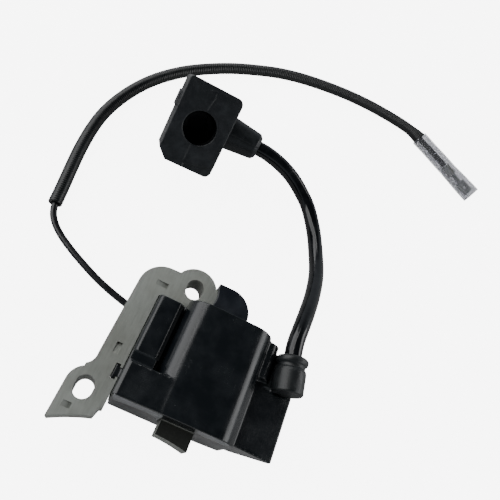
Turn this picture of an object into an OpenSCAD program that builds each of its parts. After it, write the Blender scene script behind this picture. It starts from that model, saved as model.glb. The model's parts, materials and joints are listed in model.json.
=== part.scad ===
// Two-leg ignition module of a small two-stroke engine: laminated core, potted
// coil case, high-tension lead with its spark plug boot, and the stop-switch wire.
// The origin is the centre of the lower mounting slot, on the core's mounting face.

/* [Core] */
// Thickness of the lamination stack
core_t = 8; // [6:0.5:10]
// Radius of the flywheel circle that the pole faces follow
flywheel_r = 56.3; // [50:0.1:65]
// Half width of a mounting slot
slot_r = 2.6; // [2.1:0.1:2.8]
// End-to-end length of a mounting slot
slot_len = 6.5; // [5.8:0.1:7.5]
// Upper slot centre, to the right of the lower one
slot_dx = 16; // [15:0.5:17]
// Upper slot centre, beyond the lower one
slot_dy = 38.3; // [37:0.1:39]

/* [Case] */
// Depth of the case below the core's mounting face
case_low = 8; // [7:0.5:9]
// Height of the coil hump above the mounting face
case_top = 16; // [15.5:0.5:17]
// Wall of the case
case_wall = 1.6; // [1.2:0.1:1.8]
// Left side of the case
case_x0 = 7.3; // [7.2:0.1:7.6]
// Right end of the case's shelf
case_x1 = 56; // [54:0.5:58]
// Pole-side end of the case
case_y0 = 0.4; // [0:0.1:1]
// Yoke-side end of the case
case_y1 = 33.4; // [33:0.1:34]

/* [High-tension lead] */
// Outer diameter of the high-tension lead
lead_d = 5.4; // [5:0.1:5.6]
// Diameter of its stranded conductor
lead_core_d = 1.8; // [1:0.1:2.4]

/* [Spark plug boot] */
// Width of the boot's face
boot_w = 19.6; // [18.6:0.1:20.4]
// Length of the boot's face
boot_l = 28.9; // [28:0.1:31]
// Depth of the boot's block
boot_d = 16; // [15.8:0.1:16.2]
// Lean of the boot towards the core, which its stiff lead holds, in degrees
boot_tilt = 42; // [41:1:42]
// Radius of the spark plug socket
socket_r = 5.2; // [5:0.1:5.4]

/* [Stop wire] */
// Outer diameter of the stop wire
wire_d = 2.3; // [2:0.1:2.5]
// Outer diameter of the ribbed sheath on it
sheath_d = 4.6; // [4.4:0.1:5]
// Length of the clear sleeve over the terminal
sleeve_len = 33; // [30:1:34]
// Width of the flattened clear sleeve
sleeve_w = 9.6; // [9:0.1:11]
// Thickness of the flattened clear sleeve
sleeve_t = 4.4; // [4.2:0.1:5]

/* [Hidden] */
$fn = 48;
EPS = 0.05;
GAP = 0.05;
FINE = 96;

// Core outline
leg_x0 = 22.5;
leg_x1 = 32.2;
long_leg_x = 7;
yoke_y0 = 32;
yoke_y1 = 41.4;
flywheel_x = 20.8;
flywheel_y = -60;
lobe_r = 6.8;
foot_r = 5.35;
foot_y = 0.3;
corner_r = 7.6;
corner_x = 7.3;
corner_y = 33.8;
notch_y0 = 4.8;
notch_y1 = 9.2;

// Bobbins and windings are nested boxes round the short leg
bobbin_t = 0.9;
primary_t = 1.2;
tube_t = 0.6;
secondary_t = 1.3;
coil_y0 = 4;
coil_y1 = 29.6;
s1 = GAP + bobbin_t;
s2 = s1 + primary_t;
s3 = s2 + tube_t;
s4 = s3 + secondary_t;
ribs = 6;
rib_t = 0.6;
rib_pitch = (coil_y1 - coil_y0 - rib_t) / (ribs - 1);

// Circuit board under the pad block
board_z = -3.4;
board_t = 1;
board_top = board_z + board_t;

// Case sections
pad_z = 12.8;
plate_z = 14.4;
valley_z = 9.5;
hump_x0 = 22.3;
hump_x1 = 36.5;
shoulder_r = 6.3;
right_r = 6.5;
mouth_x1 = 34.6;
case_rim = 0.8;
resin_t = 2.2;
pad_x1 = 15.2;
pad_y0 = 13;
pad_y1 = 31;
plate_y1 = 10;
shelf_y1 = 21.2;
block_x1 = 46.4;
block_y1 = 32.3;
block_z = 12;
block_r = 3;
pad_bevel = 1.5;
rib_in = 6;

// High-tension outlet: the axis of its tower and grommet
tower = [52.9, 18.8, 11];
tower_yaw = 9.2;
tower_r = 3.6;
tower_z0 = 2.6;
tower_z1 = 10.6;
grommet_z0 = 1.2;
grommet_z1 = 12.4;
grommet_r = 4.8;
neck_r = 4.2;
lip_r = 5;

// Spark plug boot
boot_at = [-5.2, 88.4, 14.8];
boot_roll = 12;
socket_at = [-0.1, -0.1];
mouth_r = 5.7;
mouth_len = 2.5;
boot_corner = 2.2;
boot_cut = 3.2;
link_at = [4.3, 2.1];
link_h = 2.4;
boss_x0 = -11;
socket_floor = 2.4;
socket_depth = boot_d - socket_floor;
clip_len = 4;
collar = [2.6, 100.1, 4.9];
collar_r0 = 6.4;
collar_r1 = 5;
collar_x1 = 14.4;
collar_end = 1.2;
lead_end_x = 1.5;

// Clear sleeve: start of its axis and its direction on the table
sleeve_at = [80, 155, -5.8];
sleeve_yaw = -27.5;

// Routes, hand laid: [x, y, z] along each axis
LEAD = [[52.25, 22.8, 11], [51.6, 26.8, 11], [50.95, 30.8, 11], [50.6, 33, 11], [50.45, 36.5, 10.7],
    [50.9, 41, 9.6], [51.8, 48, 7.2], [52.7, 56.4, 3.8], [52.8, 66, -0.2], [51.2, 75.2, -3.4],
    [47.8, 85.2, -5.1], [42.6, 93.4, -4.6], [37.2, 97.2, -2.6], [31.8, 99.2, 0], [26.2, 100, 2.4],
    [20.4, 100.1, 4.3], [15.5, 100.1, 4.9], [9, 100.1, 4.9], [lead_end_x, 100.1, 4.9]];
WIRE = [[17, 25.9, -4.9], [12.5, 26.9, -6.1], [8, 27.9, -6.75], [3.5, 28.9, -6.85], [-1.6, 30, -6.85],
    [-7, 31.4, -6.85], [-12.6, 33.2, -6.85], [-18.4, 35.6, -6.85], [-24.4, 38.4, -6.85],
    [-30, 41.6, -6.8], [-34, 45, -6.4], [-36.2, 49, -5.9]];
SHEATH = [[-36.6, 50, -5.7], [-37.4, 56, -5.7], [-38.6, 64, -5.7], [-39.8, 73, -5.7],
    [-40.4, 82, -5.7], [-40.1, 90, -5.7], [-38.6, 98, -5.7], [-36, 106, -5.7], [-32.4, 113.6, -5.7],
    [-27.8, 120.6, -5.7], [-22, 127.4, -5.7], [-15.2, 133.6, -5.7], [-7.4, 139.6, -5.7],
    [1.4, 145, -5.7], [10.6, 149.8, -5.7], [20.4, 153.4, -5.7], [31, 156, -5.7], [42, 157.8, -5.7],
    [53, 158.6, -5.7], [63, 158.4, -5.7], [70, 157.8, -5.7], [75.2, 156.8, -5.7], [79.6, 155.2, -5.75]];
WIRE_END = [[82, 154, -5.8], [86, 152, -5.8], [90, 149.9, -5.8], [94, 147.8, -5.8]];

function arc(cx, cy, r, a0, a1, n) =
    [for (i = [0:n]) [cx + r * cos(a0 + (a1 - a0) * i / n), cy + r * sin(a0 + (a1 - a0) * i / n)]];
function fly_angle(x) = acos((x - flywheel_x) / flywheel_r);
function pole(x0, x1) = arc(flywheel_x, flywheel_y, flywheel_r, fly_angle(x0), fly_angle(x1), 8);

// A tube swept along a route: sides face the same way at every ring
function unit(v) = v / norm(v);
function along(p, i) = unit(p[min(i + 1, len(p) - 1)] - p[max(i - 1, 0)]);
function side_of(t) = unit(cross(t, [0, 0, 1]));
function ring(p, i, r, n) =
    let (t = along(p, i), s = side_of(t), u = cross(s, t))
    [for (k = [0:n - 1]) p[i] + r * (cos(360 * (k + 0.5) / n) * s + sin(360 * (k + 0.5) / n) * u)];
function skin(first, rings, n, flip) =
    [for (i = [0:rings - 2], k = [0:n - 1])
        let (a = first + i * n + k, b = first + i * n + (k + 1) % n)
        flip ? [a, b, b + n, a + n] : [a, a + n, b + n, b]];

// A solid cord along the points p
module cord(p, d, n) {
    points = [for (i = [0:len(p) - 1]) each ring(p, i, d / 2, n)];
    last = (len(p) - 1) * n;
    faces = concat(skin(0, len(p), n, false), [[for (k = [0:n - 1]) k]],
        [[for (k = [n - 1:-1:0]) last + k]]);
    polyhedron(points, faces, 4);
}

// A hollow cord along the points p
module pipe(p, d, bore, n) {
    outer = [for (i = [0:len(p) - 1]) each ring(p, i, d / 2, n)];
    inner = [for (i = [0:len(p) - 1]) each ring(p, i, bore / 2, n)];
    m = len(outer);
    last = (len(p) - 1) * n;
    start_cap = [for (k = [0:n - 1]) [k, (k + 1) % n, m + (k + 1) % n, m + k]];
    end_cap = [for (k = [0:n - 1])
        [last + (k + 1) % n, last + k, m + last + k, m + last + (k + 1) % n]];
    faces = concat(skin(0, len(p), n, false), skin(m, len(p), n, true), start_cap, end_cap);
    polyhedron(concat(outer, inner), faces, 4);
}

module box(x0, x1, y0, y1, z0, z1) {
    translate([x0, y0, z0]) cube([x1 - x0, y1 - y0, z1 - z0]);
}

// A rectangle with round corners, centred
module round_rect(w, l, r) {
    square([w - 2 * r, l], center = true);
    square([w, l - 2 * r], center = true);
    for (sx = [-1, 1], sy = [-1, 1])
        translate([sx * (w / 2 - r), sy * (l / 2 - r)]) circle(r);
}

// A profile drawn in x and z, carried from y0 to y1
module run_y(y0, y1) {
    translate([0, y1, 0]) rotate([90, 0, 0]) linear_extrude(y1 - y0) children();
}

module slot_2d(x, y) {
    reach = slot_len / 2 - slot_r;
    translate([x, y]) {
        square([2 * slot_r, 2 * reach], center = true);
        translate([0, reach]) circle(slot_r, $fn = FINE);
        translate([0, -reach]) circle(slot_r, $fn = FINE);
    }
}

// Outline of one plate: long leg with its foot, yoke with the bolt lobe, short leg
module plate_2d() {
    difference() {
        polygon(concat(
            pole(-5.5, 5.5), [[6.3, -3.2], [long_leg_x, -3]],
            [[long_leg_x, notch_y0 + 0.8], [6.3, notch_y0 + 0.8], [6.3, notch_y0], [4.9, notch_y0]],
            [[4.9, notch_y1], [6.3, notch_y1], [6.3, notch_y1 - 0.8], [long_leg_x, notch_y1 - 0.8]],
            [[long_leg_x, yoke_y0], [leg_x0, yoke_y0]], pole(leg_x0, leg_x1),
            arc(leg_x1 - 7, yoke_y1 - 7, 7, 0, 90, 8),
            arc(slot_dx, slot_dy, lobe_r, 28, 152, 20),
            arc(corner_x, corner_y, corner_r, 90, 180, 12),
            [[-0.8, 11]], arc(-4.4, 8.9, 3.6, 0, -58, 8), arc(0, foot_y, foot_r, 118, 180, 10)));
        slot_2d(0, 0);
        slot_2d(slot_dx, slot_dy);
    }
}

// Interlock dimples pressed into the top plate: centre x, y, size x, y and slope about x or y
module dimples() {
    for (d = [[-1.9, -5.7, 2.4, 1.6, 0, 16], [3.3, 12.9, 1.6, 3.4, -13, 0], [6.5, 35.5, 3.6, 1.6, 0, 12]])
        translate([d[0], d[1], core_t]) intersection() {
            cube([d[2], d[3], 2], center = true);
            rotate([d[4], d[5], 0]) translate([0, 0, 0.6]) cube([9, 9, 2], center = true);
        }
}

// The plates are locked together by the dimples, so the stack is one block
module core_laminations() {
    color("#7d827a") difference() {
        linear_extrude(core_t) plate_2d();
        dimples();
    }
}

// Hump over the coil: rounded shoulders either side of a flat top
module hump_2d() {
    polygon(concat([[hump_x0 - shoulder_r, -case_low]],
        arc(hump_x0, case_top - shoulder_r, shoulder_r, 180, 90, 10),
        arc(hump_x1, case_top - right_r, right_r, 90, 0, 10),
        [[hump_x1 + right_r, -6], [36, -case_low]]));
}

// The space inside the hump, open below
module hump_space_2d() {
    polygon(concat([[hump_x0 - shoulder_r + case_wall, -case_low - 1]],
        arc(hump_x0, case_top - shoulder_r, shoulder_r - case_wall, 180, 90, 10),
        arc(hump_x1, case_top - right_r, right_r - case_wall, 90, 0, 10),
        [[hump_x1 + right_r - case_wall, -3.5], [mouth_x1, -6], [mouth_x1, -case_low - 1]]));
}

module case_outside() {
    run_y(case_y0, case_y1) hump_2d();
    box(case_x0, 16.2, case_y0, 31.6, -case_low, valley_z);
    run_y(case_y0, plate_y1)
        polygon([[case_x0, 0], [case_x0, plate_z - 1], [case_x0 + 1, plate_z],
            [hump_x0, case_top - 0.1], [hump_x0, 0]]);
    box(case_x0, 14.4, case_y0, pad_y0, 0, plate_z - 0.6);
    run_y(pad_y0 - EPS, pad_y1)
        polygon([[case_x0, 0], [case_x0, pad_z - 1], [case_x0 + 1, pad_z],
            [pad_x1 - pad_bevel, pad_z], [pad_x1, pad_z - 1.2], [pad_x1, 0]]);
    run_y(case_y0 + 1, shelf_y1)
        polygon([[42, 9.2], [case_x1, 6.2], [case_x1, 4.4], [46, -5], [42, -6.2]]);
    run_y(shelf_y1 - EPS, block_y1)
        polygon(concat([[42, -4], [42, block_z]],
            arc(block_x1 - block_r, block_z - block_r, block_r, 90, 0, 6), [[block_x1, -4]]));
    box(long_leg_x + GAP, case_x0 + EPS, case_y0, 31.6, -case_low + rib_in, core_t - 1);
    linear_extrude(core_t - 0.1) polygon([[case_x0 + EPS, notch_y0 + 0.9], [6.2, notch_y0 + 0.9],
        [6.2, notch_y0 + 0.15], [5.05, notch_y0 + 0.15], [5.05, notch_y1 - 0.15],
        [6.2, notch_y1 - 0.15], [6.2, notch_y1 - 0.9], [case_x0 + EPS, notch_y1 - 0.9]]);
}

module case_inside() {
    run_y(case_y0 + case_wall, yoke_y0 - GAP - case_wall) hump_space_2d();
    box(case_x0 + case_wall, 20, case_y0 + case_wall, yoke_y0 - GAP - case_wall, -case_low - 1, 8);
    box(case_x0 + case_wall, 20, case_y0 + case_wall, plate_y1 - case_wall, 7.9, plate_z - case_wall);
    box(case_x0 + case_wall, pad_x1 - case_wall, plate_y1 - 2, pad_y1 - case_wall, 7.9,
        pad_z - case_wall);
}

// The channel that the stop wire leaves by, through the resin and the case wall
module wire_channel() {
    start = WIRE[0];
    way = WIRE[3] - start;
    width = wire_d + 2 * GAP;
    translate([start[0], start[1], 0]) rotate([0, 0, atan2(way[1], way[0])])
        translate([-0.5, -width / 2, -case_low - 1]) cube([12, width, case_low + 1 - 3.6]);
}

// The tower that the lead plugs into, held to the case by a web
module tower_frame() {
    translate(tower) rotate([0, 0, tower_yaw]) rotate([-90, 0, 0]) children();
}

module coil_case() {
    color("#15181c") difference() {
        union() {
            difference() {
                case_outside();
                case_inside();
            }
            tower_frame() translate([0, 0, tower_z0]) cylinder(h = tower_z1 - tower_z0, r = tower_r);
            box(block_x1 - 1, 51.5, shelf_y1 - 1, 30.4, 6.4, 8.8);
        }
        box(leg_x0 - GAP, leg_x1 + GAP, -9, 60, -GAP, core_t + GAP);
        box(-2, leg_x1 + GAP, yoke_y0 - GAP, 60, -GAP, core_t + GAP);
        tower_frame() translate([0, 0, 4]) cylinder(h = 20, r = lead_d / 2 + GAP);
        box(40, 52.4, 23.4, 24.8, 7.1, 8.1);
        wire_channel();
        tower_frame() translate([0, 0, grommet_z0 - GAP])
            cylinder(h = tower_z0 - grommet_z0 + GAP, r = grommet_r + GAP);
    }
}

module yoke_cover() {
    color("#181b20") difference() {
        linear_extrude(core_t + 1.6) polygon(concat([[22.3, case_y1 + 0.1], [22.3, 43.2]],
            arc(leg_x1 - 5.4, yoke_y1 - 5.6, 7.5, 88, 0, 10), [[leg_x1 + 2.1, case_y1 + 0.1]]));
        translate([0, 0, -1]) linear_extrude(core_t + 1 + GAP) union() {
            polygon(concat([[leg_x1 + GAP, 30], [22, 30], [22, yoke_y1 + GAP]],
                arc(leg_x1 - 7, yoke_y1 - 7, 7 + GAP, 90, 0, 8)));
            translate([slot_dx, slot_dy]) circle(lobe_r + GAP);
        }
        translate([slot_dx, slot_dy, -1]) cylinder(h = 20, r = lobe_r + 0.2);
    }
}

// A box-shaped layer round the short leg, from one distance to another
module layer(inner, outer, y0, y1) {
    difference() {
        box(leg_x0 - outer, leg_x1 + outer, y0, y1, -outer, core_t + outer);
        box(leg_x0 - inner, leg_x1 + inner, y0 - 1, y1 + 1, -inner, core_t + inner);
    }
}

module primary_bobbin() {
    color("#3a3d40") {
        layer(GAP, s1, coil_y0 - 1, coil_y1 + 0.6);
        for (y = [coil_y0 - 1, coil_y1 - 0.4]) layer(GAP, s2 - GAP, y, y + 1);
    }
}

module primary_winding() {
    color("#a5562a") layer(s1 + GAP, s2 - GAP, coil_y0 + GAP, coil_y1 - 0.5);
}

module secondary_bobbin() {
    color("#d8d2c0") {
        layer(s2, s3, coil_y0, coil_y1);
        for (i = [0:ribs - 1]) {
            y = coil_y0 + i * rib_pitch;
            layer(s2, s4, y, y + rib_t);
        }
    }
}

module secondary_winding() {
    color("#8e3f22") for (i = [0:ribs - 2]) {
        y = coil_y0 + i * rib_pitch;
        layer(s3 + GAP, s4 - 0.15, y + rib_t + GAP, y + rib_pitch - GAP);
    }
}

module circuit_board() {
    color("#4c7a3f") difference() {
        box(9.4, 16.2, 9, 29.6, board_z, board_top);
        for (y = [11, 14, 26.5]) translate([15.2, y, board_z - 1]) cylinder(h = 3, r = 0.45);
    }
}

module power_transistor() {
    color("#202226") box(9.8, 14.4, 22.4, 28.4, board_top + GAP, board_top + 4.4);
    color("#c9c9c9") box(9.8, 14.4, 28.4, 29.2, board_top + GAP, board_top + 1.2);
}

module resistors() {
    for (y = [11.2, 13.6, 16]) translate([9.9, y, board_top + 1]) rotate([0, 90, 0]) {
        color("#b9a27a") translate([0, 0, 0.5]) cylinder(h = 3.4, r = 0.95);
        color("#c9c9c9") cylinder(h = 4.4, r = 0.25);
    }
}

module capacitor() {
    color("#b5702c") translate([12.2, 19.4, board_top + GAP]) cylinder(h = 5.5, r = 2.2);
}

module diode() {
    color("#26282c") translate([11.4, 9.4, board_z - 0.8]) rotate([-90, 0, 0]) cylinder(h = 4, r = 0.7);
}

// Tinned strip that earths the board on the short leg
module earth_tag() {
    color("#b9bcbe") {
        box(15, leg_x0 - s4 - 0.1, 30.0, 30.25, -3, 1.2);
        box(15, leg_x0 - 0.1, 30.25, yoke_y0 - GAP - case_wall - 0.02, 0.6, 1.2);
    }
}

module primary_leads() {
    color("#a5562a") for (y = [11, 14]) {
        translate([15.2, y, board_z - 0.4]) cylinder(h = 1.8, r = 0.4);
        translate([15.2, y, board_top + 0.5]) rotate([0, 90, 0])
            cylinder(h = leg_x0 - s4 - 15.3, r = 0.4);
    }
}

module hv_pin() {
    color("#c8a24a") {
        box(leg_x1 + s4 + 0.1, 52.3, 23.5, 24.7, 7.2, 8);
        box(51.2, 52.3, 23.5, 24.7, 7.2, 8.1);
    }
}

module potting_resin() {
    z0 = -case_low + case_rim;
    color("#101214") difference() {
        box(case_x0 + case_wall + GAP, mouth_x1 - GAP, case_y0 + case_wall + GAP,
            yoke_y0 - 2 * GAP - case_wall, z0, z0 + resin_t);
        wire_channel();
    }
}

module lead_grommet() {
    bore = lead_d / 2 + GAP;
    color("#1b1c1e") difference() {
        tower_frame() rotate_extrude() polygon([[0, grommet_z0], [4.4, grommet_z0],
            [grommet_r, grommet_z0 + 0.4], [grommet_r, 7.6], [4.6, 8.4], [neck_r, 8.8], [neck_r, 9.7],
            [lip_r - 0.2, 10.2], [lip_r, 10.8], [lip_r, 11.5], [4.4, 12.1], [bore, grommet_z1],
            [bore, tower_z1 + GAP], [tower_r + GAP, tower_z1 + GAP], [tower_r + GAP, tower_z0 - GAP],
            [0, tower_z0 - GAP]]);
        box(44, 51.6, 17, 30.5, 6.3, 8.9);
        box(42, block_x1 + GAP, 17, block_y1 + GAP, 6.3, block_z + GAP);
        box(44, 52.5, 23.3, 24.9, 7, 8.2);
    }
}

module ht_lead() {
    color("#0c0d0f") pipe(LEAD, lead_d, lead_core_d + 0.1, 12);
}

module ht_lead_core() {
    color("#b07a4a") cord(LEAD, lead_core_d, 8);
}

module boot_frame() {
    translate(boot_at) rotate([boot_tilt, 0, 0]) rotate([0, boot_roll, 0]) children();
}

module socket_frame(w) {
    boot_frame() translate([socket_at[0], socket_at[1], w]) children();
}

module collar_axis(x) {
    translate([x, collar[1], collar[2]]) rotate([0, 90, 0]) children();
}

// Outline of the boot's face: round corners, and the lower left one cut off
module boot_2d() {
    x = boot_w / 2;
    y = boot_l / 2;
    r = boot_corner;
    polygon(concat(arc(x - r, y - r, r, 90, 0, 8), arc(x - r, r - y, r, 0, -90, 8),
        [[boot_cut - x, -y], [-x, boot_cut - y]], arc(1.2 - x, y - 1.2, 1.2, 180, 90, 4)));
}

// Post from the clip's ring down to the spike on the collar's axis
module clip_link(grow) {
    boot_frame() translate([link_at[0], link_at[1], -socket_depth - link_h / 2 - grow])
        cylinder(h = link_h + grow, r = 0.55 + grow);
}

module plug_boot() {
    color("#1b1d1f") difference() {
        union() {
            boot_frame() translate([0, 0, -boot_d]) linear_extrude(boot_d) boot_2d();
            boot_frame() translate([-boot_w / 2 - 0.8, 3, -12]) cube([1.6, 5.5, 8]);
            collar_axis(boss_x0) cylinder(h = collar[0] - boss_x0 + EPS, r = collar_r0);
            collar_axis(collar[0]) cylinder(h = collar_x1 - collar[0], r1 = collar_r0, r2 = collar_r1);
            collar_axis(collar_x1 - EPS) cylinder(h = collar_end, r1 = collar_r1, r2 = 3.7);
        }
        socket_frame(-mouth_len) cylinder(h = mouth_len + 1, r = mouth_r);
        socket_frame(-socket_depth) cylinder(h = socket_depth, r = socket_r, $fn = FINE);
        socket_frame(-socket_depth) cylinder(h = clip_len, r = socket_r + 0.5);
        collar_axis(lead_end_x - 0.1) cylinder(h = 40, r = lead_d / 2 + GAP);
        collar_axis(-4.8) cylinder(h = 8, r = 0.6);
        clip_link(GAP);
    }
}

// Spring clip in the socket's root, with the spike that meets the lead's strands
module plug_terminal() {
    color("#c2c4c6") {
        difference() {
            socket_frame(-socket_depth + GAP) cylinder(h = clip_len - 4 * GAP, r = socket_r + 0.4);
            socket_frame(-socket_depth + 0.6) cylinder(h = 8, r = 3.6);
        }
        clip_link(0);
        collar_axis(-4.6) cylinder(h = lead_end_x + 4.5, r = 0.5);
    }
}

module stop_wire() {
    color("#141518") {
        cord(WIRE, wire_d, 8);
        cord(WIRE_END, wire_d, 8);
    }
}

module stop_wire_sheath() {
    color("#1c1e20") pipe(SHEATH, sheath_d, wire_d + 0.4, 8);
}

module sleeve_frame(s) {
    translate(sleeve_at) rotate([0, 0, sleeve_yaw]) translate([s, 0, 0]) children();
}

module stop_terminal() {
    color("#b9bcbe") {
        sleeve_frame(16) rotate([0, 90, 0]) difference() {
            cylinder(h = 5, r = 1.7);
            translate([0, 0, -1]) cylinder(h = 3, r = 1.3);
        }
        sleeve_frame(20.9) translate([0, -0.9, -0.4]) cube([4.6, 1.8, 0.8]);
        difference() {
            sleeve_frame(25.4) translate([0, -2.6, -0.4]) cube([6, 5.2, 0.8]);
            sleeve_frame(28.4) translate([0, 0, -1]) cylinder(h = 2, r = 1.1);
        }
    }
}

module clear_sleeve() {
    color([0.8, 0.84, 0.9, 0.5]) sleeve_frame(0) rotate([90, 0, 90]) linear_extrude(sleeve_len)
        difference() {
            round_rect(sleeve_w, sleeve_t, sleeve_t / 2 - 0.1);
            round_rect(sleeve_w - 1, sleeve_t - 1, sleeve_t / 2 - 0.6);
        }
}

core_laminations();
coil_case();
yoke_cover();
primary_bobbin();
primary_winding();
secondary_bobbin();
secondary_winding();
circuit_board();
power_transistor();
resistors();
capacitor();
diode();
earth_tag();
primary_leads();
hv_pin();
potting_resin();
lead_grommet();
ht_lead();
ht_lead_core();
plug_boot();
plug_terminal();
stop_wire();
stop_wire_sheath();
stop_terminal();
clear_sleeve();
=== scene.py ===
import json
import math

import bmesh
import bpy
from mathutils import Matrix, Vector, noise

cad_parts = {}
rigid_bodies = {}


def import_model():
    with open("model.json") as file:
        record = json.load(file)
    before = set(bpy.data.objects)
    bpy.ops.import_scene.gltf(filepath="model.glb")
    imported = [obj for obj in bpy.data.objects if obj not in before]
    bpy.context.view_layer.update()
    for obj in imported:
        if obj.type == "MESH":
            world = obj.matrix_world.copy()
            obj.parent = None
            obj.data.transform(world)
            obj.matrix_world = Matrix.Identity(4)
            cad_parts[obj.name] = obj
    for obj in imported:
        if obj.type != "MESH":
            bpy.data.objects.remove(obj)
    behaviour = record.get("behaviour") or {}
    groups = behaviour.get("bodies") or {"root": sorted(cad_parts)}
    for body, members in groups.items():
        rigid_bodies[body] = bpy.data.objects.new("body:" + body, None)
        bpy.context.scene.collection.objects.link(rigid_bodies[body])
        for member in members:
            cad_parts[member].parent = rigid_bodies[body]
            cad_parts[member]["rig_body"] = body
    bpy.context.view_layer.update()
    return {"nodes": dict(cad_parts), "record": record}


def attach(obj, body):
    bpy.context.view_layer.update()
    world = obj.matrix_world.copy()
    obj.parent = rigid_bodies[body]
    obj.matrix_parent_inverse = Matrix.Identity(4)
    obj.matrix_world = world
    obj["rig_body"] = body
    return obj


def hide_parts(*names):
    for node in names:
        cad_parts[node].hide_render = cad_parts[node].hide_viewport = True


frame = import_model()
NODES = frame["nodes"]
MM = 0.001


def mm(*values):
    """A point given in millimetres, in metres."""
    return Vector(values) * MM


# ---------------------------------------------------------------- camera

CAMERA_AT = mm(8.56, -20.62, 155.24)
CAMERA_RIGHT = Vector((0.8922, 0.3415, 0.2955))
CAMERA_UP = Vector((-0.4384, 0.8122, 0.3850))
CAMERA_LENS = 37.33
SENSOR = 36


def make_camera():
    """Camera with its place and its right and up directions given."""
    data = bpy.data.cameras.new("photo_camera")
    data.lens = CAMERA_LENS
    data.sensor_width = SENSOR
    data.clip_start = 0.005
    data.clip_end = 10
    camera = bpy.data.objects.new("photo_camera", data)
    bpy.context.scene.collection.objects.link(camera)
    right = CAMERA_RIGHT.normalized()
    back = right.cross(CAMERA_UP).normalized()
    up = back.cross(right)
    turn = Matrix((right, up, back)).transposed()
    camera.matrix_world = Matrix.Translation(CAMERA_AT) @ turn.to_4x4()
    bpy.context.scene.camera = camera


make_camera()

# ---------------------------------------------------------------- materials

BOOT_PLACE = (Matrix.Translation(mm(-5.2, 88.4, 14.8)) @ Matrix.Rotation(math.radians(42), 4, "X")
              @ Matrix.Rotation(math.radians(12), 4, "Y"))


class Paint:
    """A material and its nodes; the shader's sockets are set by name."""

    def __init__(self, name, **shader):
        self.mat = bpy.data.materials.new(name)
        self.mat.use_nodes = True
        self.tree = self.mat.node_tree
        self.bsdf = self.tree.nodes["Principled BSDF"]
        for key, value in shader.items():
            self.bsdf.inputs[key.replace("_", " ")].default_value = value
        self.coords = self.add("ShaderNodeTexCoord").outputs["Object"]
        self.normal = None

    def add(self, kind, **sockets):
        """A new node, with each named input set to a number or joined to a socket."""
        node = self.tree.nodes.new(kind)
        for key, value in sockets.items():
            self.feed(node.inputs[key.replace("_", " ")], value)
        return node

    def feed(self, socket, value):
        if isinstance(value, bpy.types.NodeSocket):
            self.tree.links.new(value, socket)
        else:
            socket.default_value = value

    def stretched(self, scale=(1, 1, 1), turn=(0, 0, 0)):
        node = self.add("ShaderNodeMapping", Vector=self.coords)
        node.inputs["Scale"].default_value = scale
        node.inputs["Rotation"].default_value = turn
        return node.outputs["Vector"]

    def noise(self, per_mm, detail=3, roughness=0.55, vector=None):
        node = self.add("ShaderNodeTexNoise", Vector=vector or self.coords, Scale=per_mm / MM,
                        Detail=detail, Roughness=roughness)
        return node.outputs["Fac"]

    def cells(self, per_mm):
        node = self.add("ShaderNodeTexVoronoi", Vector=self.coords, Scale=per_mm / MM)
        return node.outputs["Distance"]

    def ramp(self, value, low, high, start=0.0, end=1.0):
        """value taken from low..high to start..end, and held at both ends."""
        node = self.add("ShaderNodeMapRange", Value=value)
        limits = {"From Min": low, "From Max": high, "To Min": start, "To Max": end}
        for key, number in limits.items():
            node.inputs[key].default_value = number
        return node.outputs["Result"]

    def maths(self, operation, a, b=0.0):
        node = self.add("ShaderNodeMath")
        node.operation = operation
        self.feed(node.inputs[0], a)
        self.feed(node.inputs[1], b)
        return node.outputs[0]

    def blend(self, amount, a, b):
        node = self.add("ShaderNodeMix")
        node.data_type = "RGBA"
        self.feed(node.inputs["Factor"], amount)
        self.feed(node.inputs[6], a)
        self.feed(node.inputs[7], b)
        return node.outputs[2]

    def colour(self, value):
        self.feed(self.bsdf.inputs["Base Color"], value)

    def rough(self, value):
        self.feed(self.bsdf.inputs["Roughness"], value)

    def bump(self, height, distance_mm, strength=1.0):
        """Relief on top of any relief already there."""
        node = self.add("ShaderNodeBump", Height=height, Strength=strength,
                        Distance=distance_mm * MM)
        if self.normal:
            self.feed(node.inputs["Normal"], self.normal)
        self.normal = node.outputs["Normal"]
        self.feed(self.bsdf.inputs["Normal"], self.normal)


def rgb(r, g, b):
    return (r, g, b, 1.0)


LAMINATION_T = 0.5
POLE_X = (20, 20.5)
POLE_Y = (0.4, 0.1)


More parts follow.
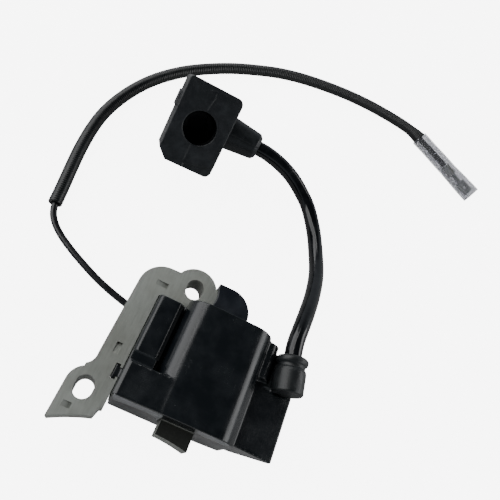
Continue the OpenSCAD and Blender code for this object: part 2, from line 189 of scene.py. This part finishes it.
def core_steel():
    """Satin blanked steel: rolling grain, faint stains, plate lines on the edges, and a
    dark coat on top of the pole end."""
    p = Paint("core_steel", Metallic=0.55, Roughness=0.5)
    grain = p.noise(2.2, 4, 0.6, p.stretched((1, 0.12, 1), (0, 0, 0.5)))
    stain = p.noise(0.09, 3)
    place = p.add("ShaderNodeSeparateXYZ", Vector=p.coords)
    facing = p.add("ShaderNodeSeparateXYZ", Vector=p.add("ShaderNodeNewGeometry").outputs["Normal"])
    side = p.ramp(p.maths("ABSOLUTE", facing.outputs["Z"]), 0.75, 0.35)
    saw = p.maths("FRACT", p.maths("DIVIDE", place.outputs["Z"], LAMINATION_T * MM))
    line = p.ramp(p.maths("ABSOLUTE", p.maths("SUBTRACT", saw, 0.5)), 0.36, 0.46)
    line = p.maths("MULTIPLY", line, side)
    flat = p.blend(p.ramp(grain, 0.3, 0.7), rgb(0.27, 0.285, 0.262), rgb(0.33, 0.345, 0.32))
    flat = p.blend(p.ramp(stain, 0.4, 0.75, 0, 0.5), flat, rgb(0.22, 0.222, 0.19))
    pole = p.maths("MULTIPLY", p.ramp(place.outputs["Y"], POLE_Y[0] * MM, POLE_Y[1] * MM),
                   p.ramp(place.outputs["X"], POLE_X[0] * MM, POLE_X[1] * MM))
    pole = p.maths("MULTIPLY", pole, p.ramp(facing.outputs["Z"], 0.5, 0.8))
    flat = p.blend(pole, flat, rgb(0.03, 0.032, 0.028))
    p.colour(p.blend(p.maths("MULTIPLY", line, 0.75), flat, rgb(0.05, 0.048, 0.04)))
    p.rough(p.ramp(grain, 0.25, 0.75, 0.42, 0.58))
    p.bump(p.noise(6, 3, 0.6), 0.02, 0.5)
    p.bump(p.maths("MULTIPLY", line, -1.0), 0.06)
    return p.mat


def moulded(name, base, rough, speck=0.0, scratch=0.0):
    """Moulded plastic: slight sink and flow in the gloss, fine scratches, dust specks."""
    p = Paint(name, Roughness=rough)
    haze = p.noise(0.16, 4, 0.6)
    dark = rgb(*base)
    pale = rgb(*(1.6 * c + 0.004 for c in base))
    colour = p.blend(p.ramp(haze, 0.4, 0.8), dark, pale)
    if speck:
        dust = p.ramp(p.cells(0.55), 0.045, 0.02)
        rare = p.ramp(p.noise(0.3, 1), 0.56, 0.62)
        dust = p.maths("MULTIPLY", p.maths("MULTIPLY", dust, rare), speck)
        colour = p.blend(dust, colour, rgb(0.25, 0.26, 0.28))
    p.colour(colour)
    p.rough(p.ramp(haze, 0.3, 0.75, rough * 0.8, rough * 1.35))
    p.bump(p.noise(0.12, 2), 0.25, 0.35)
    p.bump(p.noise(7, 3), 0.012, 0.4)
    if scratch:
        for turn, width in ((0.6, 1.0), (-0.5, 1.4), (1.3, 1.2)):
            wave = p.noise(0.5 * width, 2, 0.5, p.stretched((1, 0.05, 1), (0, 0, turn)))
            line = p.ramp(p.maths("ABSOLUTE", p.maths("SUBTRACT", wave, 0.5)), 0.0025, 0.0)
            part = p.ramp(p.noise(0.11 * width, 1), 0.58, 0.68)
            p.bump(p.maths("MULTIPLY", line, part), -0.012, scratch)
    return p.mat


# Depth along the boot's axis and radius, in millimetres, of the painted shade in the boot's socket.
SOCKET_SHADE_Z = (-0.3, -2.5)
SOCKET_SHADE_R = (6.6, 6.2)


def rubber(name, base, rough, grain=0.03, hollow=False):
    """Matte moulded rubber with a fine even grain and paler scuffs. A hollow one has painted shade
    inside the boot's socket: there its colour is near black and its reflection is turned down."""
    p = Paint(name, Roughness=rough, Specular_IOR_Level=0.45)
    scuff = p.noise(0.3, 4, 0.65)
    dark = rgb(*base)
    pale = rgb(*(1.7 * c + 0.004 for c in base))
    colour = p.blend(p.ramp(scuff, 0.45, 0.8), dark, pale)
    if hollow:
        local = p.add("ShaderNodeMapping", Vector=p.coords)
        local.vector_type = "TEXTURE"
        local.inputs["Location"].default_value = BOOT_PLACE.to_translation()
        local.inputs["Rotation"].default_value = BOOT_PLACE.to_euler("XYZ")
        at = p.add("ShaderNodeSeparateXYZ", Vector=local.outputs["Vector"])
        out = p.maths("SQRT", p.maths("ADD", p.maths("POWER", at.outputs["X"], 2.0),
                                      p.maths("POWER", at.outputs["Y"], 2.0)))
        # inside: painted shade deep in the boot's socket, near black with hardly any reflection.
        inside = p.maths("MULTIPLY", p.ramp(at.outputs["Z"], SOCKET_SHADE_Z[0] * MM, SOCKET_SHADE_Z[1] * MM),
                         p.ramp(out, SOCKET_SHADE_R[0] * MM, SOCKET_SHADE_R[1] * MM))
        colour = p.blend(inside, colour, rgb(0.0006, 0.0007, 0.0008))
        p.feed(p.bsdf.inputs["Specular IOR Level"], p.ramp(inside, 0, 1, 0.45, 0.03))
    p.colour(colour)
    p.rough(p.ramp(scuff, 0.3, 0.8, rough - 0.06, rough + 0.1))
    p.bump(p.noise(5, 3, 0.6), grain, 0.5)
    p.bump(p.noise(0.35, 2), 0.12, 0.4)
    return p.mat


def clear_pvc():
    """Soft clear tube, cool in tint, hazy in patches and denser where its wall is on edge."""
    p = Paint("clear_pvc", Roughness=0.06, IOR=1.1, Transmission_Weight=0.95)
    haze = p.noise(0.3, 3)
    edge = p.add("ShaderNodeLayerWeight", Blend=0.4).outputs["Facing"]
    tint = p.blend(p.ramp(haze, 0.35, 0.7), rgb(0.90, 0.90, 0.97), rgb(0.97, 0.98, 1.0))
    p.colour(p.blend(p.ramp(edge, 0.55, 0.95), tint, rgb(0.35, 0.35, 0.42)))
    p.feed(p.bsdf.inputs["Alpha"], p.ramp(haze, 0.3, 0.7, 0.62, 0.76))
    p.bump(p.noise(0.5, 3), 0.3, 0.22)
    return p.mat


def metal(name, base, rough, metallic=1.0):
    """Bare metal, darker and rougher in worn patches."""
    p = Paint(name, Metallic=metallic, Roughness=rough)
    wear = p.noise(0.8, 4, 0.65)
    p.colour(p.blend(p.ramp(wear, 0.35, 0.75), rgb(*(0.6 * c for c in base)), rgb(*base)))
    p.rough(p.ramp(wear, 0.3, 0.8, rough * 0.8, rough * 1.4))
    p.bump(p.noise(4, 3), 0.02, 0.5)
    return p.mat


def wound(name, base):
    """Enamelled wire laid side by side round the leg, with painted shade in the grooves between the
    turns.
    """
    p = Paint(name, Metallic=0.7, Roughness=0.35)
    y = p.add("ShaderNodeSeparateXYZ", Vector=p.coords).outputs["Y"]
    # turn: high in the middle of each turn; the colour darkens towards the grooves between turns as
    # painted shade.
    turn = p.maths("PINGPONG", p.maths("DIVIDE", y, 0.12 * MM), 1.0)
    p.colour(p.blend(turn, rgb(*(0.4 * c for c in base)), rgb(*base)))
    p.bump(turn, 0.05)
    return p.mat


def film():
    """Film of sealing resin brushed along the end of the case; its grey, paler in streaks, is a
    painted sheen.
    """
    p = Paint("sealing_film_sheen", Roughness=0.42, Specular_IOR_Level=0.6)
    # streak: brush marks in the relief, and the paler grey of the painted sheen.
    streak = p.noise(0.5, 4, 0.6, p.stretched((0.4, 1, 1)))
    p.colour(p.blend(p.ramp(streak, 0.3, 0.75), rgb(0.12, 0.125, 0.13), rgb(0.26, 0.265, 0.27)))
    p.bump(streak, 0.06, 0.6)
    return p.mat


MATERIALS = {
    "core_steel": core_steel(),
    "case_plastic": moulded("case_plastic", (0.0045, 0.006, 0.0075), 0.22, speck=0.8, scratch=0.6),
    "cover_plastic": moulded("cover_plastic", (0.006, 0.008, 0.012), 0.34, scratch=0.3),
    "bobbin_black": moulded("bobbin_black", (0.03, 0.03, 0.034), 0.45),
    "bobbin_white": moulded("bobbin_white", (0.62, 0.57, 0.46), 0.45),
    "copper_wire": wound("copper_wire", (0.62, 0.26, 0.11)),
    "board": moulded("board", (0.08, 0.2, 0.06), 0.4),
    "component_black": moulded("component_black", (0.02, 0.02, 0.024), 0.4),
    "component_tan": moulded("component_tan", (0.45, 0.3, 0.15), 0.35),
    "tinned": metal("tinned", (0.62, 0.62, 0.6), 0.34),
    # Near-black metal for the clip at the bottom of the boot's socket: painted shade in the deep
    # socket.
    "clip_steel_in_shade": metal("clip_steel_in_shade", (0.02, 0.02, 0.022), 0.5, 0.6),
    "worn_tin": metal("worn_tin", (0.22, 0.225, 0.215), 0.45, 0.6),
    "brass_pin": metal("brass_pin", (0.75, 0.55, 0.22), 0.3),
    "resin": moulded("resin", (0.012, 0.013, 0.014), 0.3, scratch=0.2),
    "rubber_black": rubber("rubber_black", (0.007, 0.0085, 0.0095), 0.42),
    # The boot's rubber, with painted shade in its socket.
    "boot_rubber_socket_shade": rubber("boot_rubber_socket_shade", (0.007, 0.0085, 0.0105), 0.42, hollow=True),
    "lead_jacket": rubber("lead_jacket", (0.003, 0.0035, 0.0045), 0.14, 0.003),
    "wire_jacket": rubber("wire_jacket", (0.004, 0.0045, 0.006), 0.28, 0.012),
    "sheath_weave": rubber("sheath_weave", (0.004, 0.005, 0.0055), 0.3, 0.015),
    "clear_pvc": clear_pvc(),
    "sealing_film_sheen": film(),
}


def dress(obj, slot_name, material=None):
    """Give the object its material, which is the slot's own unless another is named."""
    obj.data.materials.clear()
    obj.data.materials.append(MATERIALS[material or slot_name])


# ---------------------------------------------------------------- mesh tools

def link(name, mesh):
    obj = bpy.data.objects.new(name, mesh)
    bpy.context.scene.collection.objects.link(obj)
    return obj


def shade_smooth(mesh):
    mesh.polygons.foreach_set("use_smooth", [True] * len(mesh.polygons))


def built(name, bm, outward=True):
    """An object made from the faces of bm, shaded smooth."""
    bm.normal_update()
    if outward:
        bmesh.ops.recalc_face_normals(bm, faces=bm.faces)
    mesh = bpy.data.meshes.new(name)
    bm.to_mesh(mesh)
    bm.free()
    shade_smooth(mesh)
    return link(name, mesh)


def stands_for(obj, node, body, slot_name, material=None):
    """The object replaces a CAD node and rides on its body."""
    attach(obj, body)
    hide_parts(node)
    dress(obj, slot_name, material)
    return obj


def applied(obj):
    """The same object with its modifiers applied to its mesh."""
    graph = bpy.context.evaluated_depsgraph_get()
    mesh = bpy.data.meshes.new_from_object(obj.evaluated_get(graph))
    obj.modifiers.clear()
    obj.data = mesh
    return obj


def softened(node, name, voxel_mm, passes, slot_name, material=None):
    """A copy of a CAD node with the small radii of a moulding on its edges."""
    obj = link(name, NODES[node].data.copy())
    remesh = obj.modifiers.new("remesh", "REMESH")
    remesh.mode = "VOXEL"
    remesh.voxel_size = voxel_mm * MM
    smooth = obj.modifiers.new("smooth", "SMOOTH")
    smooth.factor = 0.5
    smooth.iterations = passes
    applied(obj)
    shade_smooth(obj.data)
    return stands_for(obj, node, NODES[node]["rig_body"], slot_name, material)


def smooth_path(points, steps):
    """Points on a smooth curve through the given ones, steps to each stretch."""
    p = [Vector(q) * MM for q in points]
    p = [2 * p[0] - p[1], *p, 2 * p[-1] - p[-2]]
    path = []
    for i in range(1, len(p) - 2):
        for k in range(steps):
            t = k / steps
            a, b, c, d = p[i - 1:i + 3]
            path.append(0.5 * (2 * b + (c - a) * t + (2 * a - 5 * b + 4 * c - d) * t * t
                               + (3 * b - a - 3 * c + d) * t ** 3))
    return path + [p[-2]]


def path_length(path):
    """Length along the path, in metres."""
    return sum((b - a).length for a, b in zip(path, path[1:]))


def frames_along(path):
    """(point, side, up) along a path that runs close to level."""
    result = []
    for i, point in enumerate(path):
        way = (path[min(i + 1, len(path) - 1)] - path[max(i - 1, 0)]).normalized()
        side = way.cross(Vector((0, 0, 1))).normalized()
        result.append((point, side, side.cross(way)))
    return result


MOUTH_BORE = 0.72


def tube(name, path, radius, sides, mouth=0.0):
    """A closed tube mesh; radius is a function of the place and angle, in metres. A mouth is
    a hollow that many millimetres deep at its start."""
    bm = bmesh.new()
    rings = []
    run = 0.0
    for i, (point, side, up) in enumerate(frames_along(path)):
        run += (path[i] - path[i - 1]).length if i else 0.0
        ring = []
        for k in range(sides):
            angle = 2 * math.pi * k / sides
            r = radius(run, angle)
            ring.append(bm.verts.new(point + r * (math.cos(angle) * side + math.sin(angle) * up)))
        rings.append(ring)
    if mouth:
        bore = [path[0] + MOUTH_BORE * (v.co - path[0]) for v in rings[0]]
        inward = (path[1] - path[0]).normalized() * mouth * MM
        for shift in (Vector(), inward):
            rings.insert(0, [bm.verts.new(point + shift) for point in bore])
    for a, b in zip(rings, rings[1:]):
        for k in range(sides):
            bm.faces.new((a[k], a[(k + 1) % sides], b[(k + 1) % sides], b[k]))
    bm.faces.new(reversed(rings[0]))
    bm.faces.new(rings[-1])
    return built(name, bm)


def resample(path, step):
    """The same path with points a fixed distance apart."""
    result = [path[0]]
    left = step
    for a, b in zip(path, path[1:]):
        length = (b - a).length
        at = left
        while at <= length:
            result.append(a.lerp(b, at / length))
            at += step
        left = at - length
    return result + [path[-1]]


# ---------------------------------------------------------------- cords

LEAD_D = 5.4
WIRE_D = 2.3
SHEATH_D = 4.6
LEAD = [(52.25, 22.8, 11), (51.6, 26.8, 11), (50.95, 30.8, 11), (50.6, 33, 11),
        (50.45, 36.5, 10.7), (50.9, 41, 9.6), (51.8, 48, 7.2), (52.7, 56.4, 3.8),
        (52.8, 66, -0.2), (51.2, 75.2, -3.4), (47.8, 85.2, -5.1), (42.6, 93.4, -4.6),
        (37.2, 97.2, -2.6), (31.8, 99.2, 0), (26.2, 100, 2.4), (20.4, 100.1, 4.3),
        (15.5, 100.1, 4.9), (9, 100.1, 4.9), (1.5, 100.1, 4.9)]
WIRE = [(17, 25.9, -4.9), (12.5, 26.9, -6.1), (8, 27.9, -6.75), (3.5, 28.9, -6.85),
        (-1.6, 30, -6.85), (-7, 31.4, -6.85), (-12.6, 33.2, -6.85), (-18.4, 35.6, -6.85),
        (-24.4, 38.4, -6.85), (-30, 41.6, -6.8), (-34, 45, -6.4), (-36.2, 49, -5.9)]
SHEATH = [(-36.6, 50, -5.7), (-37.4, 56, -5.7), (-38.6, 64, -5.7), (-39.8, 73, -5.7),
          (-40.4, 82, -5.7), (-40.1, 90, -5.7), (-38.6, 98, -5.7), (-36, 106, -5.7),
          (-32.4, 113.6, -5.7), (-27.8, 120.6, -5.7), (-22, 127.4, -5.7), (-15.2, 133.6, -5.7),
          (-7.4, 139.6, -5.7), (1.4, 145, -5.7), (10.6, 149.8, -5.7), (20.4, 153.4, -5.7),
          (31, 156, -5.7), (42, 157.8, -5.7), (53, 158.6, -5.7), (63, 158.4, -5.7),
          (70, 157.8, -5.7), (75.2, 156.8, -5.7), (79.6, 155.2, -5.75)]
WIRE_END = [(82, 154, -5.8), (86, 152, -5.8), (90, 149.9, -5.8), (94, 147.8, -5.8)]
CORD_STEP = 0.8
RIB_STEP = 0.8
RIB_H = 0.17
RIB_BASE = 0.19
RINGS_PER_RIB = 6
FLARE_LEN = 6.0
FLARE = 0.8
SHEATH_MOUTH = 2.0


def ht_lead():
    """Thick smooth lead, very slightly uneven."""
    path = resample(smooth_path(LEAD, 10), CORD_STEP * MM)

    def radius(run, angle):
        wobble = noise.noise(Vector((run * 90, math.cos(angle), math.sin(angle))))
        return (LEAD_D / 2 + 0.04 * wobble - 0.02) * MM

    obj = tube("ht_lead_jacket", path, radius, 36)
    return stands_for(obj, "ht_lead", "module", "lead_jacket"), path


def stop_wire():
    """Thin wire, drawn the whole way from the case to the terminal."""
    path = resample(smooth_path([*WIRE, *SHEATH[1:-1], *WIRE_END], 8), CORD_STEP * MM)

    def radius(run, angle):
        wobble = noise.noise(Vector((run * 120, math.cos(angle), math.sin(angle) + 7)))
        return (WIRE_D / 2 + 0.03 * wobble - 0.02) * MM

    obj = tube("stop_wire_insulation", path, radius, 20)
    return stands_for(obj, "stop_wire", "module", "wire_jacket"), path


def stop_sheath():
    """Sheath with fine ribs, an open mouth and a far end that widens sideways."""
    path = resample(smooth_path(SHEATH, 8), RIB_STEP / RINGS_PER_RIB * MM)
    total = path_length(path)

    def radius(run, angle):
        rib = RIB_H * abs(math.sin(math.pi * run / (RIB_STEP * MM)))
        worn = 0.04 * noise.noise(Vector((run * 60, math.cos(angle) * 2, math.sin(angle) * 2)))
        flare = FLARE * max(0.0, 1 - (total - run) / (FLARE_LEN * MM)) * abs(math.cos(angle))
        return (SHEATH_D / 2 - RIB_BASE + rib + worn + flare) * MM

    obj = tube("stop_wire_sheath_ribs", path, radius, 28, mouth=SHEATH_MOUTH)
    return stands_for(obj, "stop_wire_sheath", "module", "sheath_weave"), path


lead, lead_path = ht_lead()
wire, wire_path = stop_wire()
sheath, sheath_path = stop_sheath()

# ---------------------------------------------------------------- clear sleeve

SLEEVE_PLACE = Matrix.Translation(mm(80, 155, -5.8)) @ Matrix.Rotation(math.radians(-27.5), 4, "Z")
SLEEVE_LEN = 33.0
SLEEVE_W = 9.6
SLEEVE_T = 4.4
SLEEVE_WALL = 0.4
SLEEVE_LAP = 0.8
SLEEVE_RINGS = 46
SLEEVE_SIDES = 40


def sleeve_point(s, angle, layer):
    """A point of the sleeve's skin, layer millimetres inside, s of the way along it."""
    half_w = SLEEVE_W / 2 * (0.86 + 0.14 * s) - layer
    half_t = SLEEVE_T / 2 * (1.0 - 0.22 * math.sin(math.pi * min(1, 1.2 * s))) - layer
    across, up = math.cos(angle), math.sin(angle)
    y = half_w * math.copysign(abs(across) ** 0.75, across)
    z = half_t * math.copysign(abs(up) ** 0.85, up)
    dent = noise.noise(Vector((s * 5, y * 0.35, up))) * 0.22
    shift = 0.25 * math.sin(5 * s + 1.0)
    return Vector((SLEEVE_LEN * s - SLEEVE_LAP * (1 - s), y + shift * (1 - s) * s,
                   z + dent * math.sin(math.pi * s))) * MM


def clear_sleeve():
    """Flattened soft tube: oval at the wire, flatter and wavy towards its cut end."""
    bm = bmesh.new()
    skins = []
    for layer in (0.0, SLEEVE_WALL):
        skin = []
        for i in range(SLEEVE_RINGS + 1):
            points = [sleeve_point(i / SLEEVE_RINGS, 2 * math.pi * k / SLEEVE_SIDES, layer)
                      for k in range(SLEEVE_SIDES)]
            skin.append([bm.verts.new(point) for point in points])
        skins.append(skin)
    outer, inner = skins
    for grid, flip in ((outer, False), (inner, True)):
        for a, b in zip(grid, grid[1:]):
            for k in range(SLEEVE_SIDES):
                j = (k + 1) % SLEEVE_SIDES
                face = (a[k], b[k], b[j], a[j])
                bm.faces.new(reversed(face) if flip else face)
    for end in (0, -1):
        for k in range(SLEEVE_SIDES):
            j = (k + 1) % SLEEVE_SIDES
            bm.faces.new((outer[end][k], outer[end][j], inner[end][j], inner[end][k]))
    obj = built("clear_sleeve_tube", bm)
    obj.data.transform(SLEEVE_PLACE)
    return stands_for(obj, "clear_sleeve", "sleeve", "clear_pvc")


sleeve = clear_sleeve()

# ---------------------------------------------------------------- mouldings

COLLAR_X = 3.5
COLLAR_AXIS = (100.1, 4.9)
COLLAR_STEP = 0.95
COLLAR_SEAM = (-0.62, 0.78)
FACE_SEAM = [(-1.5, 12.7), (0.3, 12.9), (0.7, 10.6), (0, 7.4), (-0.3, 0), (-0.5, -7),
             (-0.5, -11.9)]
FACE_SKIN = -0.5
SEAM_HALF = 0.4
SEAM_DEPTH = 0.12
HEEL_X = -0.4
HEEL_Y = -12.8
HEEL_SLOPE = 0.22
HEEL_DEPTH = 0.35
MOUTH_CLEAR = 6.2


def seam_distance(x, y):
    """Distance in millimetres from the parting line on the boot's face."""
    at = Vector((x, y))
    best = math.inf
    for a, b in zip(FACE_SEAM, FACE_SEAM[1:]):
        start, way = Vector(a), Vector(b) - Vector(a)
        part = min(1.0, max(0.0, (at - start).dot(way) / way.length_squared))
        best = min(best, (at - start - part * way).length)
    return best


def mould_marks(obj):
    """Parting line and heel step on the boot's face, and the split line along its collar."""
    back = BOOT_PLACE.inverted()
    axis = BOOT_PLACE.to_3x3() @ Vector((0, 0, 1))
    for v in obj.data.vertices:
        x, y, z = (back @ v.co) / MM
        if z > FACE_SKIN and math.hypot(x, y) > MOUTH_CLEAR:
            sink = SEAM_DEPTH * max(0.0, 1 - seam_distance(x, y) / SEAM_HALF)
            if x > HEEL_X and y < HEEL_Y + HEEL_SLOPE * x:
                sink = HEEL_DEPTH
            v.co -= axis * sink * MM
        elif v.co.x > COLLAR_X * MM:
            dy, dz = v.co.y - COLLAR_AXIS[0] * MM, v.co.z - COLLAR_AXIS[1] * MM
            if dy * COLLAR_SEAM[1] - dz * COLLAR_SEAM[0] < 0:
                v.co.y = COLLAR_AXIS[0] * MM + dy * COLLAR_STEP
                v.co.z = COLLAR_AXIS[1] * MM + dz * COLLAR_STEP
    obj.data.update()


END_Y = 0.4
FILM_T = 0.14
FILM_BACK = 0.3
FILM_ROWS = 8
PLATE_X1 = 22.3
PLATE_TOP = 14.2
HUMP_TOP = 15.6
HUMP_ARC = (36.5, 9.5, 6.5)
EDGE_GAP = 0.4
FILMS = {"left": [(8, 9.5), (11, 8.4), (14, 7), (17, 6.4), (19.6, 7.2), (21, 9), (22, 12.5)],
         "right": [(31.8, 2), (33, 5.4), (35.2, 6.2), (37.6, 5.2), (39.6, 4.4), (41.2, 1.2)]}


def film_top(x):
    """Height just under the end face's upper edge at x, in millimetres."""
    cx, cz, r = HUMP_ARC
    if x < PLATE_X1:
        return PLATE_TOP
    if x < cx:
        return HUMP_TOP
    return cz + math.sqrt(max(0, r * r - (x - cx) ** 2)) - EDGE_GAP


def sealing_film_sheen():
    """Uneven patches of sealing resin under the upper edge of the case's end, grey with a painted
    sheen.
    """
    for side, edge in FILMS.items():
        lower = [(p.x / MM, p.y / MM) for p in smooth_path([(x, d, 0) for x, d in edge], 12)]
        bm = bmesh.new()
        columns = []
        for i, (x, depth) in enumerate(lower):
            depth += 0.35 * noise.noise(Vector((x * 1.3, 2.0, 0)))
            column = []
            for k in range(FILM_ROWS + 1):
                z = film_top(x) - depth * k / FILM_ROWS
                thick = 0.0
                if 0 < k < FILM_ROWS and 0 < i < len(lower) - 1:
                    thick = FILM_T + 0.05 * noise.noise(Vector((x * 0.8, z * 0.8, 5)))
                column.append(bm.verts.new(mm(x, END_Y - thick, z)))
            columns.append(column)
        for a, b in zip(columns, columns[1:]):
            for k in range(FILM_ROWS):
                bm.faces.new((a[k], a[k + 1], b[k + 1], b[k]))
        obj = built("sealing_film_sheen_" + side, bm, outward=False)
        solid = obj.modifiers.new("solid", "SOLIDIFY")
        solid.thickness = FILM_BACK * MM
        solid.offset = -1
        applied(obj)
        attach(obj, "module")
        dress(obj, "resin", "sealing_film_sheen")


softened("coil_case", "coil_case_moulding", 0.3, 5, "case_plastic")
softened("yoke_cover", "yoke_cover_moulding", 0.22, 4, "cover_plastic")
softened("lead_grommet", "lead_grommet_rubber", 0.18, 4, "rubber_black")
boot = softened("plug_boot", "plug_boot_rubber", 0.24, 5, "rubber_black", "boot_rubber_socket_shade")
mould_marks(boot)
sealing_film_sheen()

# ---------------------------------------------------------------- carried nodes

# The plug terminal takes the near-black clip metal, which is painted shade deep in the boot's
# socket.
CARRIED_LOOK = {"plug_terminal": "clip_steel_in_shade", "stop_terminal": "worn_tin"}
for row in frame["record"]["subparts"]:
    node = NODES[row["node"]]
    if not node.hide_render:
        dress(node, row["material_slot"], CARRIED_LOOK.get(row["node"]))

# ---------------------------------------------------------------- stage and lights

FLOOR_Z = -8 * MM
FLOOR_SIZE = 6
FLOOR_GLOW = 0.05
FLOOR_SEEN = 7.0
AIM = (0.02, 0.05, 0)
SKY_LOW = 0.5
SKY_HIGH = 0.05
SKY_TINT = (0.86, 0.93, 1, 1)


def make_floor():
    """Plain pale floor that glows towards the camera and hardly at all towards the part."""
    bpy.ops.mesh.primitive_plane_add(size=FLOOR_SIZE, location=(0, 0, FLOOR_Z))
    floor = bpy.context.object
    floor.name = "floor"
    p = Paint("floor", Roughness=0.9, Specular_IOR_Level=0.1)
    p.colour(p.blend(p.noise(0.01, 2), rgb(0.48, 0.48, 0.48), rgb(0.5, 0.5, 0.5)))
    p.bsdf.inputs["Emission Color"].default_value = rgb(1, 1, 1)
    seen = p.add("ShaderNodeLightPath").outputs["Is Camera Ray"]
    p.feed(p.bsdf.inputs["Emission Strength"], p.ramp(seen, 0, 1, FLOOR_GLOW, FLOOR_SEEN))
    floor.data.materials.append(p.mat)


def area_light(name, at, size, power):
    """A rectangular light at a place, turned towards the part."""
    data = bpy.data.lights.new(name, "AREA")
    data.shape = "RECTANGLE"
    data.size, data.size_y = size
    data.energy = power
    light = bpy.data.objects.new(name, data)
    bpy.context.scene.collection.objects.link(light)
    light.location = at
    light.rotation_euler = (Vector(AIM) - Vector(at)).to_track_quat("-Z", "Y").to_euler()


def make_world():
    """Soft sky: pale round the horizon and dark overhead, which the flat tops mirror."""
    world = bpy.data.worlds.new("studio")
    world.use_nodes = True
    tree = world.node_tree
    way = tree.nodes.new("ShaderNodeTexCoord").outputs["Generated"]
    split = tree.nodes.new("ShaderNodeSeparateXYZ")
    tree.links.new(way, split.inputs["Vector"])
    lift = tree.nodes.new("ShaderNodeMapRange")
    lift.interpolation_type = "SMOOTHSTEP"
    limits = {"From Min": 0.3, "From Max": 0.65, "To Min": SKY_LOW, "To Max": SKY_HIGH}
    for key, number in limits.items():
        lift.inputs[key].default_value = number
    tree.links.new(split.outputs["Z"], lift.inputs["Value"])
    back = tree.nodes["Background"]
    back.inputs["Color"].default_value = SKY_TINT
    tree.links.new(lift.outputs["Result"], back.inputs["Strength"])
    bpy.context.scene.world = world


make_floor()
make_world()
area_light("key", (-0.8, 0.25, 0.5), (1.6, 0.7), 10)
area_light("fill", (0.9, 0.1, 0.36), (1.4, 0.45), 6)
area_light("streak", (-0.42, 0.2, 0.72), (1.6, 0.14), 3)
